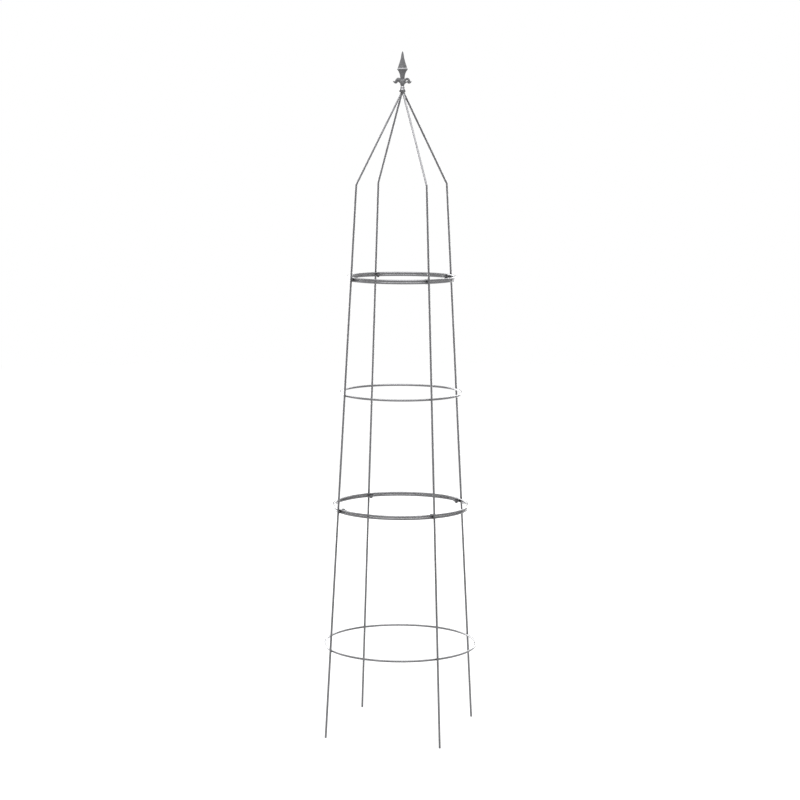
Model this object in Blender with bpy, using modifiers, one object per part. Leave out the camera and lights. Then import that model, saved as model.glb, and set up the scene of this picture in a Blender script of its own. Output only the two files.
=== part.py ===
# Plant support: a four-legged garden obelisk of round steel rod, in three stacked sections.
# The legs stand outside the hoops, and tabs inside the hoops bolt one section to the next.
# A cast finial screws onto a stud at the top.
# Metres, +Z up. The origin is on the ground, under the tip.

import math

import bmesh
import bpy
from mathutils import Vector

# Rod and clearance
ROD_DIAMETER = 0.006
TOUCH_GAP = 0.0003

# Leg line, measured from the middle of the frame to the rod's centre
FOOT_RADIUS = 0.2345
SHOULDER_RADIUS = 0.1411
SHOULDER_BEND_RADIUS = 0.015
APEX_RADIUS = 0.0030
LEG_DEGREES = {
    "back_right": 45,
    "back_left": 135,
    "front_left": 225,
    "front_right": 315,
}

# Sections and their hoops
LOWER_SECTION_HEIGHT = 0.640
MIDDLE_SECTION_HEIGHT = 0.640
UPPER_SHAFT_HEIGHT = 0.2585
ROOF_HEIGHT = 0.2510
LOWER_HOOP_HEIGHT = 0.246
MIDDLE_HOOP_RISE = 0.320

# Tabs that join two sections
TAB_WIDTH = 0.012
TAB_THICKNESS = 0.002
TAB_HOOP_TO_BOLT = 0.0065
TAB_BOLT_TO_END = 0.0095

# Fasteners in the tabs
BOLT_DIAMETER = 0.005
HEX_ACROSS_FLATS = 0.008
BOLT_HEAD_HEIGHT = 0.0035
NUT_HEIGHT = 0.004
BOLT_END_BELOW_NUT = 0.001

# Boss on the leg tops, and its stud
BOSS_HEIGHT = 0.0055
BOSS_OVERHANG = 0.0021
BOSS_FLOOR = 0.0015
BOSS_CHAMFER = 0.0006
STUD_DIAMETER = 0.006
STUD_INTO_FINIAL = 0.010

# Bell between the boss and the finial
BELL_HEIGHT = 0.0106
BELL_TOP_DIAMETER = 0.0110
BELL_SHOULDER_DIAMETER = 0.0135
BELL_SHOULDER_DROP = 0.0015
BELL_RIM_DIAMETER = 0.0155
BELL_RIM_HEIGHT = 0.0014
BELL_WAIST_DIAMETER = 0.0140
BELL_WAIST_RISE = 0.0045

# Finial stem
STEM_HEIGHT = 0.0190
STEM_FOOT_DIAMETER = 0.0096
STEM_BODY_DIAMETER = 0.0118
STEM_BODY_BOTTOM = 0.0040
STEM_BODY_TOP = 0.0130
STEM_TOP_DIAMETER = 0.0066

# Finial spear, whose section is a flattened diamond
SPEAR_BOTTOM_RISE = 0.0130
SPEAR_NECK_HEIGHT = 0.0090
SPEAR_TAPER_HEIGHT = 0.0229
SPEAR_CHAMFER_HEIGHT = 0.0033
SPEAR_BLADE_HEIGHT = 0.0456
SPEAR_NECK_WIDTH = 0.0120
SPEAR_WIDTH = 0.0278
SPEAR_BLADE_WIDTH = 0.0232
SPEAR_TIP_WIDTH = 0.0012
SPEAR_DEPTH_SHARE = 0.68
SPEAR_TAPER_POWER = 2.0
SPEAR_BLADE_POWER = 1.3
SPEAR_STEPS = 7

# Finial scrolls: reach from the middle, rise from the finial's foot, and radius of the bar
SCROLL_PATH = [
    (0.0000, 0.0080, 0.0044),
    (0.0060, 0.0122, 0.0046),
    (0.0110, 0.0170, 0.0050),
    (0.0150, 0.0164, 0.0043),
    (0.0172, 0.0118, 0.0034),
    (0.0185, 0.0092, 0.0031),
    (0.0218, 0.0106, 0.0024),
    (0.0250, 0.0131, 0.0007),
]
FINIAL_TURN_DEGREES = 17

# Materials: colour, roughness and metallic share
MATERIALS = {
    "rod_coating": ((0.075, 0.075, 0.076), 0.42, 0.3),
    "casting_coating": ((0.085, 0.085, 0.086), 0.6, 0.3),
    "bell_coating": ((0.10, 0.10, 0.10), 0.22, 0.5),
    "fastener_plating": ((0.06, 0.06, 0.062), 0.4, 0.8),
}

# Fineness of the round shapes
ROD_BEVEL_RESOLUTION = 4
HOOP_SEGMENTS = 48
HOOP_SIDES = 10
BEND_STEPS = 5
TAB_ROUND_STEPS = 8
FASTENER_SIDES = 16
TURNED_STEPS = 24
DIAMOND_STEPS = 4
SCROLL_RESOLUTION = 3
SCROLL_BEVEL_RESOLUTION = 2
HEX_SIDES = 6
WELD_DISTANCE = 0.00001
SMOOTH_DEGREES = 40

# Values that follow from the sizes above
ROD_RADIUS = ROD_DIAMETER / 2
LOWER_JOINT_HEIGHT = LOWER_SECTION_HEIGHT
UPPER_JOINT_HEIGHT = LOWER_SECTION_HEIGHT + MIDDLE_SECTION_HEIGHT
SHOULDER_HEIGHT = UPPER_JOINT_HEIGHT + UPPER_SHAFT_HEIGHT
BOSS_BOTTOM_HEIGHT = SHOULDER_HEIGHT + ROOF_HEIGHT
HALF_GAP = TOUCH_GAP / 2
LEG_LEAN = math.atan((FOOT_RADIUS - SHOULDER_RADIUS) / SHOULDER_HEIGHT)
ROOF_LEAN = math.atan(SHOULDER_RADIUS / ROOF_HEIGHT)
ROOF_ROD_REACH = ROD_RADIUS / math.cos(ROOF_LEAN)
BOSS_DIAMETER = 2 * (APEX_RADIUS + ROOF_ROD_REACH + BOSS_OVERHANG)
BOLT_HOLE_DIAMETER = BOLT_DIAMETER + 2 * TOUCH_GAP
STUD_HOLE_DIAMETER = STUD_DIAMETER + 2 * TOUCH_GAP
BELL_BOTTOM_HEIGHT = BOSS_BOTTOM_HEIGHT + BOSS_HEIGHT + TOUCH_GAP
FINIAL_FOOT_HEIGHT = BELL_BOTTOM_HEIGHT + BELL_HEIGHT + TOUCH_GAP


def clear_scene():
    for item in list(bpy.data.objects):
        bpy.data.objects.remove(item, do_unlink=True)


def add_collection(name):
    collection = bpy.data.collections.new(name)
    bpy.context.scene.collection.children.link(collection)
    return collection


def add_material(name):
    colour, roughness, metallic = MATERIALS[name]
    material = bpy.data.materials.new(name)
    material.use_nodes = True
    shader = material.node_tree.nodes["Principled BSDF"]
    shader.inputs["Base Color"].default_value = (*colour, 1.0)
    shader.inputs["Roughness"].default_value = roughness
    shader.inputs["Metallic"].default_value = metallic
    return material


def add_object(name, data, collection, parent=None, location=(0, 0, 0), degrees=0):
    item = bpy.data.objects.new(name, data)
    collection.objects.link(item)
    item.parent = parent
    item.location = location
    item.rotation_euler.z = math.radians(degrees)
    return item


def add_section(name, height, collection):
    section = add_object(name, None, collection, location=(0, 0, height))
    section.empty_display_size = 2 * ROD_DIAMETER
    return section


def finish_round(mesh, material):
    mesh.materials.clear()
    mesh.materials.append(material)
    mesh.shade_smooth()
    mesh.set_sharp_from_angle(angle=math.radians(SMOOTH_DEGREES))


def mesh_from(item):
    # The evaluated shape of an object, with its loose caps welded on
    graph = bpy.context.evaluated_depsgraph_get()
    mesh = bpy.data.meshes.new_from_object(item.evaluated_get(graph))
    shape = bmesh.new()
    shape.from_mesh(mesh)
    bmesh.ops.remove_doubles(shape, verts=shape.verts, dist=WELD_DISTANCE)
    bmesh.ops.recalc_face_normals(shape, faces=shape.faces)
    shape.to_mesh(mesh)
    shape.free()
    return mesh


def trim(mesh, point, direction):
    # Cuts off what lies past the point in that direction, and closes the cut
    shape = bmesh.new()
    shape.from_mesh(mesh)
    bmesh.ops.bisect_plane(
        shape,
        geom=shape.verts[:] + shape.edges[:] + shape.faces[:],
        plane_co=point,
        plane_no=direction,
        clear_outer=True,
    )
    rim = [edge for edge in shape.edges if edge.is_boundary]
    bmesh.ops.holes_fill(shape, edges=rim, sides=0)
    bmesh.ops.recalc_face_normals(shape, faces=shape.faces)
    shape.to_mesh(mesh)
    shape.free()


def shaft_radius(height):
    # Distance from the middle to the centre of a leg, below the shoulder
    share = height / SHOULDER_HEIGHT
    return FOOT_RADIUS + (SHOULDER_RADIUS - FOOT_RADIUS) * share


def hoop_radius(height):
    # A hoop touches the legs from inside
    return shaft_radius(height) - (ROD_DIAMETER + TOUCH_GAP) / math.cos(LEG_LEAN)


def bolt_circle_radius(joint_height):
    return hoop_radius(joint_height) - ROD_RADIUS - TAB_HOOP_TO_BOLT


def rounded_corner(before, corner, after, radius):
    incoming = (corner - before).normalized()
    outgoing = (after - corner).normalized()
    turn = incoming.angle(outgoing)
    start = corner - incoming * radius * math.tan(turn / 2)
    sideways = (outgoing - incoming * incoming.dot(outgoing)).normalized()
    points = []
    for step in range(BEND_STEPS + 1):
        angle = turn * step / BEND_STEPS
        along = incoming * math.sin(angle)
        across = sideways * (1 - math.cos(angle))
        points.append(start + (along + across) * radius)
    return points


def rod_mesh(name, points, bottom, top, collection):
    # A round rod along the points, cut level at the bottom and top heights
    curve = bpy.data.curves.new(name, "CURVE")
    curve.dimensions = "3D"
    curve.bevel_depth = ROD_RADIUS
    curve.bevel_resolution = ROD_BEVEL_RESOLUTION
    curve.use_fill_caps = True
    spline = curve.splines.new("POLY")
    spline.points.add(len(points) - 1)
    for target, point in zip(spline.points, points):
        target.co = (*point, 1.0)
    guide = add_object(name + "_line", curve, collection)
    bpy.context.view_layer.update()
    mesh = mesh_from(guide)
    bpy.data.objects.remove(guide, do_unlink=True)
    trim(mesh, (0, 0, bottom), (0, 0, -1))
    trim(mesh, (0, 0, top), (0, 0, 1))
    mesh.name = name
    return mesh


def shaft_point(height, base):
    # A point on the leg line, from the base height of its section
    return Vector((shaft_radius(height), 0, height - base))


def straight_leg_mesh(name, base, top, ground_gap, collection):
    low = shaft_point(base - ROD_DIAMETER, base)
    high = shaft_point(top + ROD_DIAMETER, base)
    return rod_mesh(name, [low, high], ground_gap, top - base - HALF_GAP, collection)


def shouldered_leg_mesh(name, base, collection):
    # The four leg tops are ground to a right-angled corner each, so they meet like a split post
    top = BOSS_BOTTOM_HEIGHT - TOUCH_GAP
    low = shaft_point(base - ROD_DIAMETER, base)
    shoulder = shaft_point(SHOULDER_HEIGHT, base)
    apex = Vector((APEX_RADIUS, 0, top - base))
    past_apex = apex + (apex - shoulder).normalized() * ROD_DIAMETER
    bend = rounded_corner(low, shoulder, apex, SHOULDER_BEND_RADIUS)
    mesh = rod_mesh(name, [low, *bend, past_apex], HALF_GAP, top - base, collection)
    corner = (math.sqrt(2) * HALF_GAP, 0, 0)
    for side in (1, -1):
        trim(mesh, corner, (-1, side, 0))
    return mesh


def add_legs(prefix, mesh, section, collection):
    for place, degrees in LEG_DEGREES.items():
        add_object(f"{prefix}_{place}", mesh, collection, section, degrees=degrees)


def add_hoop(name, height, section, material, collection):
    bpy.ops.mesh.primitive_torus_add(
        major_radius=hoop_radius(height),
        minor_radius=ROD_RADIUS,
        major_segments=HOOP_SEGMENTS,
        minor_segments=HOOP_SIDES,
    )
    hoop = bpy.context.object
    hoop.name = name
    for owner in list(hoop.users_collection):
        owner.objects.unlink(hoop)
    collection.objects.link(hoop)
    hoop.parent = section
    hoop.location.z = height - section.location.z
    finish_round(hoop.data, material)


def arc(centre_x, radius, start_degrees, end_degrees, steps):
    points = []
    for step in range(steps + 1):
        angle = math.radians(start_degrees + (end_degrees - start_degrees) * step / steps)
        points.append((centre_x + radius * math.cos(angle), radius * math.sin(angle)))
    return points


def tab_mesh(name, hoop_height, joint_height, material, collection):
    # The tab's own X runs outwards from its bolt to its hoop, and one end is round
    half_width = TAB_WIDTH / 2
    tube_rise = ROD_RADIUS - TAB_THICKNESS
    tube_half_width = math.sqrt(ROD_RADIUS**2 - tube_rise**2)
    hoop_closing_in = half_width * math.tan(math.pi / HOOP_SEGMENTS)
    hoop_side = hoop_radius(hoop_height) - tube_half_width - hoop_closing_in - TOUCH_GAP
    outer_x = hoop_side - bolt_circle_radius(joint_height)
    round_end = arc(half_width - TAB_BOLT_TO_END, half_width, 90, 270, TAB_ROUND_STEPS)
    outline = [(outer_x, -half_width), (outer_x, half_width), *round_end]
    hole = arc(0, BOLT_HOLE_DIAMETER / 2, 0, 360, FASTENER_SIDES)[:-1]
    curve = bpy.data.curves.new(name, "CURVE")
    curve.dimensions = "2D"
    curve.fill_mode = "BOTH"
    curve.extrude = TAB_THICKNESS / 2
    for points in (outline, hole):
        spline = curve.splines.new("POLY")
        spline.points.add(len(points) - 1)
        spline.use_cyclic_u = True
        for target, (x, y) in zip(spline.points, points):
            target.co = (x, y, 0, 1)
    guide = add_object(name + "_outline", curve, collection)
    bpy.context.view_layer.update()
    mesh = mesh_from(guide)
    bpy.data.objects.remove(guide, do_unlink=True)
    mesh.materials.clear()
    mesh.materials.append(material)
    mesh.name = name
    return mesh


def add_tabs(prefix, side, joint_height, section, material, collection):
    # side is 1 for the tabs above the joint and -1 for those below it
    hoop_height = joint_height + side * (HALF_GAP + ROD_RADIUS)
    mesh = tab_mesh(prefix, hoop_height, joint_height, material, collection)
    middle = joint_height + side * (HALF_GAP + TAB_THICKNESS / 2)
    radius = bolt_circle_radius(joint_height)
    for place, degrees in LEG_DEGREES.items():
        angle = math.radians(degrees)
        location = (radius * math.cos(angle), radius * math.sin(angle), middle - section.location.z)
        add_object(f"{prefix}_{place}", mesh, collection, section, location, degrees)


def add_boolean(item, operation, other):
    modifier = item.modifiers.new(operation.title(), "BOOLEAN")
    modifier.operation = operation
    modifier.solver = "EXACT"
    modifier.object = other


def hide_cutter(cutter):
    cutter.hide_render = True
    cutter.display_type = "WIRE"


def prism(name, diameter, bottom, top, sides, collection):
    # An upright prism or round bar between two heights
    mesh = bpy.data.meshes.new(name)
    shape = bmesh.new()
    bmesh.ops.create_cone(
        shape,
        cap_ends=True,
        segments=sides,
        radius1=diameter / 2,
        radius2=diameter / 2,
        depth=top - bottom,
    )
    bmesh.ops.translate(shape, verts=shape.verts, vec=(0, 0, (top + bottom) / 2))
    shape.to_mesh(mesh)
    shape.free()
    return add_object(name, mesh, collection)


def settled_mesh(item, name, material):
    # The item's finished shape as one mesh that its copies share
    bpy.context.view_layer.update()
    mesh = mesh_from(item)
    bpy.data.objects.remove(item, do_unlink=True)
    finish_round(mesh, material)
    mesh.name = name
    return mesh


def bolt_mesh(material, collection, cutters):
    # The bolt's own zero height is the plane where two tabs meet
    seat = HALF_GAP + TAB_THICKNESS + TOUCH_GAP
    across_corners = HEX_ACROSS_FLATS / math.cos(math.pi / HEX_SIDES)
    shank_bottom = -(seat + NUT_HEIGHT + BOLT_END_BELOW_NUT)
    head_middle = seat + BOLT_HEAD_HEIGHT / 2
    head = prism("bolt_head", across_corners, seat, seat + BOLT_HEAD_HEIGHT, HEX_SIDES, collection)
    shank = prism("bolt_shank", BOLT_DIAMETER, shank_bottom, head_middle, FASTENER_SIDES, cutters)
    add_boolean(head, "UNION", shank)
    mesh = settled_mesh(head, "bolt", material)
    bpy.data.objects.remove(shank, do_unlink=True)
    return mesh


def nut_mesh(material, collection, cutters):
    top = -(HALF_GAP + TAB_THICKNESS + TOUCH_GAP)
    bottom = top - NUT_HEIGHT
    across_corners = HEX_ACROSS_FLATS / math.cos(math.pi / HEX_SIDES)
    nut = prism("nut_blank", across_corners, bottom, top, HEX_SIDES, collection)
    bore_bottom = bottom - NUT_HEIGHT
    bore_top = top + NUT_HEIGHT
    bore = prism("nut_bore", BOLT_HOLE_DIAMETER, bore_bottom, bore_top, FASTENER_SIDES, cutters)
    add_boolean(nut, "DIFFERENCE", bore)
    mesh = settled_mesh(nut, "nut", material)
    bpy.data.objects.remove(bore, do_unlink=True)
    return mesh


def add_fasteners(prefix, mesh, joint_height, section, collection):
    radius = bolt_circle_radius(joint_height)
    for place, degrees in LEG_DEGREES.items():
        angle = math.radians(degrees)
        height = joint_height - section.location.z
        location = (radius * math.cos(angle), radius * math.sin(angle), height)
        add_object(f"{prefix}_{place}", mesh, collection, section, location, degrees)


def turned(name, profile, steps, collection, closed=False):
    # The profile is a list of radius and height, down the outer side
    mesh = bpy.data.meshes.new(name)
    shape = bmesh.new()
    verts = [shape.verts.new((radius, 0, height)) for radius, height in profile]
    for first, second in zip(verts, verts[1:]):
        shape.edges.new((first, second))
    if closed:
        shape.edges.new((verts[-1], verts[0]))
    shape.to_mesh(mesh)
    shape.free()
    item = add_object(name, mesh, collection)
    screw = item.modifiers.new("Turn", "SCREW")
    screw.steps = steps
    screw.render_steps = steps
    screw.use_merge_vertices = True
    screw.merge_threshold = WELD_DISTANCE
    screw.use_smooth_shade = steps != DIAMOND_STEPS
    return item


def add_boss(section, material, collection):
    # A round boss with a blind hole for the stud, welded onto the four leg tops
    base = BOSS_BOTTOM_HEIGHT - section.location.z
    top = base + BOSS_HEIGHT
    floor = base + BOSS_FLOOR
    bore = STUD_HOLE_DIAMETER / 2
    rim = BOSS_DIAMETER / 2
    profile = [
        (0, floor),
        (bore, floor),
        (bore, top),
        (rim - BOSS_CHAMFER, top),
        (rim, top - BOSS_CHAMFER),
        (rim, base + BOSS_CHAMFER),
        (rim - BOSS_CHAMFER, base),
        (0, base),
    ]
    boss = turned("top_boss", profile, TURNED_STEPS, collection)
    boss.parent = section
    boss.data.materials.append(material)


def add_stud(section, material, collection):
    bottom = BOSS_BOTTOM_HEIGHT + BOSS_FLOOR + TOUCH_GAP
    top = FINIAL_FOOT_HEIGHT + STUD_INTO_FINIAL
    radius = STUD_DIAMETER / 2
    base = section.location.z
    profile = [(0, top - base), (radius, top - base), (radius, bottom - base), (0, bottom - base)]
    stud = turned("finial_stud", profile, FASTENER_SIDES, collection)
    stud.parent = section
    stud.data.materials.append(material)


def add_bell(pivot, material, collection):
    bottom = BELL_BOTTOM_HEIGHT - pivot.location.z
    top = bottom + BELL_HEIGHT
    bore = STUD_HOLE_DIAMETER / 2
    profile = [
        (bore, top),
        (BELL_TOP_DIAMETER / 2, top),
        (BELL_SHOULDER_DIAMETER / 2, top - BELL_SHOULDER_DROP),
        (BELL_WAIST_DIAMETER / 2, bottom + BELL_WAIST_RISE),
        (BELL_RIM_DIAMETER / 2, bottom + BELL_RIM_HEIGHT),
        (BELL_RIM_DIAMETER / 2, bottom),
        (bore, bottom),
    ]
    bell = turned("finial_bell", profile, TURNED_STEPS, collection, closed=True)
    bell.parent = pivot
    bell.data.materials.append(material)


def spear_profile():
    # Half widths of the spear: a fine blade, a chamfer, a hollow taper and an even neck
    widest = SPEAR_BOTTOM_RISE + SPEAR_NECK_HEIGHT + SPEAR_TAPER_HEIGHT
    blade_foot = widest + SPEAR_CHAMFER_HEIGHT
    tip = blade_foot + SPEAR_BLADE_HEIGHT
    profile = [(0, tip)]
    for step in range(SPEAR_STEPS + 1):
        share = step / SPEAR_STEPS
        growth = (SPEAR_BLADE_WIDTH - SPEAR_TIP_WIDTH) * share**SPEAR_BLADE_POWER
        profile.append(((SPEAR_TIP_WIDTH + growth) / 2, tip - SPEAR_BLADE_HEIGHT * share))
    for step in range(SPEAR_STEPS + 1):
        share = step / SPEAR_STEPS
        excess = (SPEAR_WIDTH - SPEAR_NECK_WIDTH) * (1 - share) ** SPEAR_TAPER_POWER
        profile.append(((SPEAR_NECK_WIDTH + excess) / 2, widest - SPEAR_TAPER_HEIGHT * share))
    profile.append((SPEAR_NECK_WIDTH / 2, SPEAR_BOTTOM_RISE))
    profile.append((0, SPEAR_BOTTOM_RISE))
    return profile


def scroll_mesh(name, collection):
    # One leaf-like scroll, as a bar that thins to a flicked tip. The bevel is a metre deep, so
    # that each point's radius is the bar's real radius there.
    curve = bpy.data.curves.new(name, "CURVE")
    curve.dimensions = "3D"
    curve.bevel_depth = 1.0
    curve.bevel_resolution = SCROLL_BEVEL_RESOLUTION
    curve.resolution_u = SCROLL_RESOLUTION
    curve.use_fill_caps = True
    spline = curve.splines.new("BEZIER")
    spline.bezier_points.add(len(SCROLL_PATH) - 1)
    for target, (reach, rise, radius) in zip(spline.bezier_points, SCROLL_PATH):
        target.co = (reach, 0, rise)
        target.radius = radius
        target.handle_left_type = "AUTO"
        target.handle_right_type = "AUTO"
    guide = add_object(name + "_line", curve, collection)
    bpy.context.view_layer.update()
    mesh = mesh_from(guide)
    bpy.data.objects.remove(guide, do_unlink=True)
    mesh.name = name
    return mesh


def add_finial(pivot, material, collection, cutters):
    # One casting: a round stem with a socket, two scrolls and a spear
    top = STEM_HEIGHT
    profile = [
        (0, top),
        (STEM_TOP_DIAMETER / 2, top),
        (STEM_BODY_DIAMETER / 2, STEM_BODY_TOP),
        (STEM_BODY_DIAMETER / 2, STEM_BODY_BOTTOM),
        (STEM_FOOT_DIAMETER / 2, 0),
        (0, 0),
    ]
    finial = turned("finial", profile, TURNED_STEPS, collection)
    finial.data.materials.append(material)
    spear = turned("finial_spear_form", spear_profile(), DIAMOND_STEPS, cutters)
    spear.scale.y = SPEAR_DEPTH_SHARE
    scroll = scroll_mesh("finial_scroll_form", cutters)
    right_scroll = add_object("finial_scroll_right_form", scroll, cutters)
    left_scroll = add_object("finial_scroll_left_form", scroll, cutters, degrees=180)
    socket_top = STUD_INTO_FINIAL + TOUCH_GAP
    socket = prism(
        "finial_socket_form", STUD_HOLE_DIAMETER, -socket_top, socket_top, FASTENER_SIDES, cutters
    )
    for form in (spear, right_scroll, left_scroll):
        add_boolean(finial, "UNION", form)
    add_boolean(finial, "DIFFERENCE", socket)
    for item in (finial, spear, right_scroll, left_scroll, socket):
        item.parent = pivot
        item.location.z = FINIAL_FOOT_HEIGHT - pivot.location.z
    for form in (spear, right_scroll, left_scroll, socket):
        hide_cutter(form)


def build_lower_section(coat, collection):
    section = add_section("lower_section", 0, collection)
    legs = straight_leg_mesh("lower_leg", 0, LOWER_JOINT_HEIGHT, 0, collection)
    finish_round(legs, coat)
    add_legs("lower_leg", legs, section, collection)
    end_hoop = LOWER_JOINT_HEIGHT - HALF_GAP - ROD_RADIUS
    add_hoop("lower_section_hoop", LOWER_HOOP_HEIGHT, section, coat, collection)
    add_hoop("lower_section_top_hoop", end_hoop, section, coat, collection)
    add_tabs("lower_top_tab", -1, LOWER_JOINT_HEIGHT, section, coat, collection)
    return section


def build_middle_section(coat, collection):
    section = add_section("middle_section", LOWER_JOINT_HEIGHT, collection)
    legs = straight_leg_mesh(
        "middle_leg", LOWER_JOINT_HEIGHT, UPPER_JOINT_HEIGHT, HALF_GAP, collection
    )
    finish_round(legs, coat)
    add_legs("middle_leg", legs, section, collection)
    low_hoop = LOWER_JOINT_HEIGHT + HALF_GAP + ROD_RADIUS
    mid_hoop = LOWER_JOINT_HEIGHT + MIDDLE_HOOP_RISE
    top_hoop = UPPER_JOINT_HEIGHT - HALF_GAP - ROD_RADIUS
    add_hoop("middle_section_bottom_hoop", low_hoop, section, coat, collection)
    add_hoop("middle_section_hoop", mid_hoop, section, coat, collection)
    add_hoop("middle_section_top_hoop", top_hoop, section, coat, collection)
    add_tabs("middle_bottom_tab", 1, LOWER_JOINT_HEIGHT, section, coat, collection)
    add_tabs("middle_top_tab", -1, UPPER_JOINT_HEIGHT, section, coat, collection)
    return section


def build_upper_section(coat, zinc, collection):
    section = add_section("upper_section", UPPER_JOINT_HEIGHT, collection)
    legs = shouldered_leg_mesh("upper_leg", UPPER_JOINT_HEIGHT, collection)
    finish_round(legs, coat)
    add_legs("upper_leg", legs, section, collection)
    low_hoop = UPPER_JOINT_HEIGHT + HALF_GAP + ROD_RADIUS
    add_hoop("upper_section_bottom_hoop", low_hoop, section, coat, collection)
    add_tabs("upper_bottom_tab", 1, UPPER_JOINT_HEIGHT, section, coat, collection)
    add_boss(section, coat, collection)
    add_stud(section, zinc, collection)
    return section


def build_finial(cast, bell_coat, collection, cutters):
    # The empty stands on the stud's axis, where the finial turns
    pivot = add_section("finial_axis", BELL_BOTTOM_HEIGHT, collection)
    pivot.rotation_euler.z = math.radians(FINIAL_TURN_DEGREES)
    add_bell(pivot, bell_coat, collection)
    add_finial(pivot, cast, collection, cutters)


def build():
    clear_scene()
    parts = add_collection("plant_support")
    cutters = add_collection("cutters")
    coat = add_material("rod_coating")
    cast = add_material("casting_coating")
    bell_coat = add_material("bell_coating")
    zinc = add_material("fastener_plating")
    lower = build_lower_section(coat, parts)
    middle = build_middle_section(coat, parts)
    build_upper_section(coat, zinc, parts)
    build_finial(cast, bell_coat, parts, cutters)
    bolts = bolt_mesh(zinc, parts, cutters)
    nuts = nut_mesh(zinc, parts, cutters)
    for joint, height, section in (
        ("lower_joint", LOWER_JOINT_HEIGHT, lower),
        ("upper_joint", UPPER_JOINT_HEIGHT, middle),
    ):
        add_fasteners(f"{joint}_bolt", bolts, height, section, parts)
        add_fasteners(f"{joint}_nut", nuts, height, section, parts)


build()
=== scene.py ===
# Studio picture of a round garden obelisk in dark grey coated steel rod.
# Metres, +Z up. Each piece is built about the obelisk's own axis and stands in for a CAD node,
# except the welds, which come on top.
import math

import bmesh
import bpy
from mathutils import Matrix, Vector, noise


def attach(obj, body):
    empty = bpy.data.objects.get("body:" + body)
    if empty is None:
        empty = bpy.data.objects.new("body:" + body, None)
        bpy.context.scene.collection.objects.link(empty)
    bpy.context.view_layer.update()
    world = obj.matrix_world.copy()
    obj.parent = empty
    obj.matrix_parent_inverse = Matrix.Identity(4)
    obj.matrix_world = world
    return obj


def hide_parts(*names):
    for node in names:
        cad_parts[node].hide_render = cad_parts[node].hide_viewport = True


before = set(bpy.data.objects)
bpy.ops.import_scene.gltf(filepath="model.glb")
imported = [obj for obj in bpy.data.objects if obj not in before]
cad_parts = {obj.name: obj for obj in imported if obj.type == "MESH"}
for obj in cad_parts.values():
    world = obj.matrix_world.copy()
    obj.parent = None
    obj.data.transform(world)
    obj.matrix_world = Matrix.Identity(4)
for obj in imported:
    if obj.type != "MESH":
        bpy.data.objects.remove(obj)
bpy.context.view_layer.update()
print("frame loaded:", len(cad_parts), "nodes")

# Sizes that several pieces share
obelisk = {
    "rodRadius": 0.003,
    "footRadius": 0.2345,          # leg centres on the ground
    "shoulderRadius": 0.1411,
    "shoulderHeight": 1.5385,
    "shoulderBend": 0.015,
    # the roof rods were ground and welded by hand, so no two end quite alike
    "apexRadius": {"back_right": 0.0030, "back_left": 0.0022, "front_left": 0.0015,
                   "front_right": 0.0030},
    "bossBottom": 1.7895,
    "lowerJoint": 0.640,
    "upperJoint": 1.280,
    "gap": 0.0003,                 # between pieces that touch
    "finialTurn": 17,              # degrees, so that the spear faces the camera
}
places = {"back_right": 45, "back_left": 135, "front_left": 225, "front_right": 315}
legLean = math.atan(
    (obelisk["footRadius"] - obelisk["shoulderRadius"]) / obelisk["shoulderHeight"]
)
rodRadius = obelisk["rodRadius"]
halfGap = obelisk["gap"] / 2
sameSpot = 0.000001                # points nearer than this are one point
curveSpot = 0.00001                # the same for a shape that starts as a curve


def shaftRadius(height):
    # from the axis to a leg's centre, below the shoulder
    share = height / obelisk["shoulderHeight"]
    return obelisk["footRadius"] + (obelisk["shoulderRadius"] - obelisk["footRadius"]) * share


def hoopRadius(height):
    return shaftRadius(height) - (2 * rodRadius + obelisk["gap"]) / math.cos(legLean)


def fromHex(code):
    # sRGB hex to linear RGBA
    channels = [int(code[i : i + 2], 16) / 255 for i in (1, 3, 5)]
    linear = [c / 12.92 if c <= 0.04045 else ((c + 0.055) / 1.055) ** 2.4 for c in channels]
    return (*linear, 1.0)


def addNode(tree, kind, inputs=None, **settings):
    # inputs holds a value or another node's output for each socket
    node = tree.nodes.new(kind)
    for key, value in settings.items():
        setattr(node, key, value)
    for socket, value in (inputs or {}).items():
        if isinstance(value, bpy.types.NodeSocket):
            tree.links.new(value, node.inputs[socket])
        else:
            node.inputs[socket].default_value = value
    return node


def newMaterial(name):
    material = bpy.data.materials.new(name)
    material.use_nodes = True
    tree = material.node_tree
    tree.nodes.clear()
    return material, tree


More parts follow.
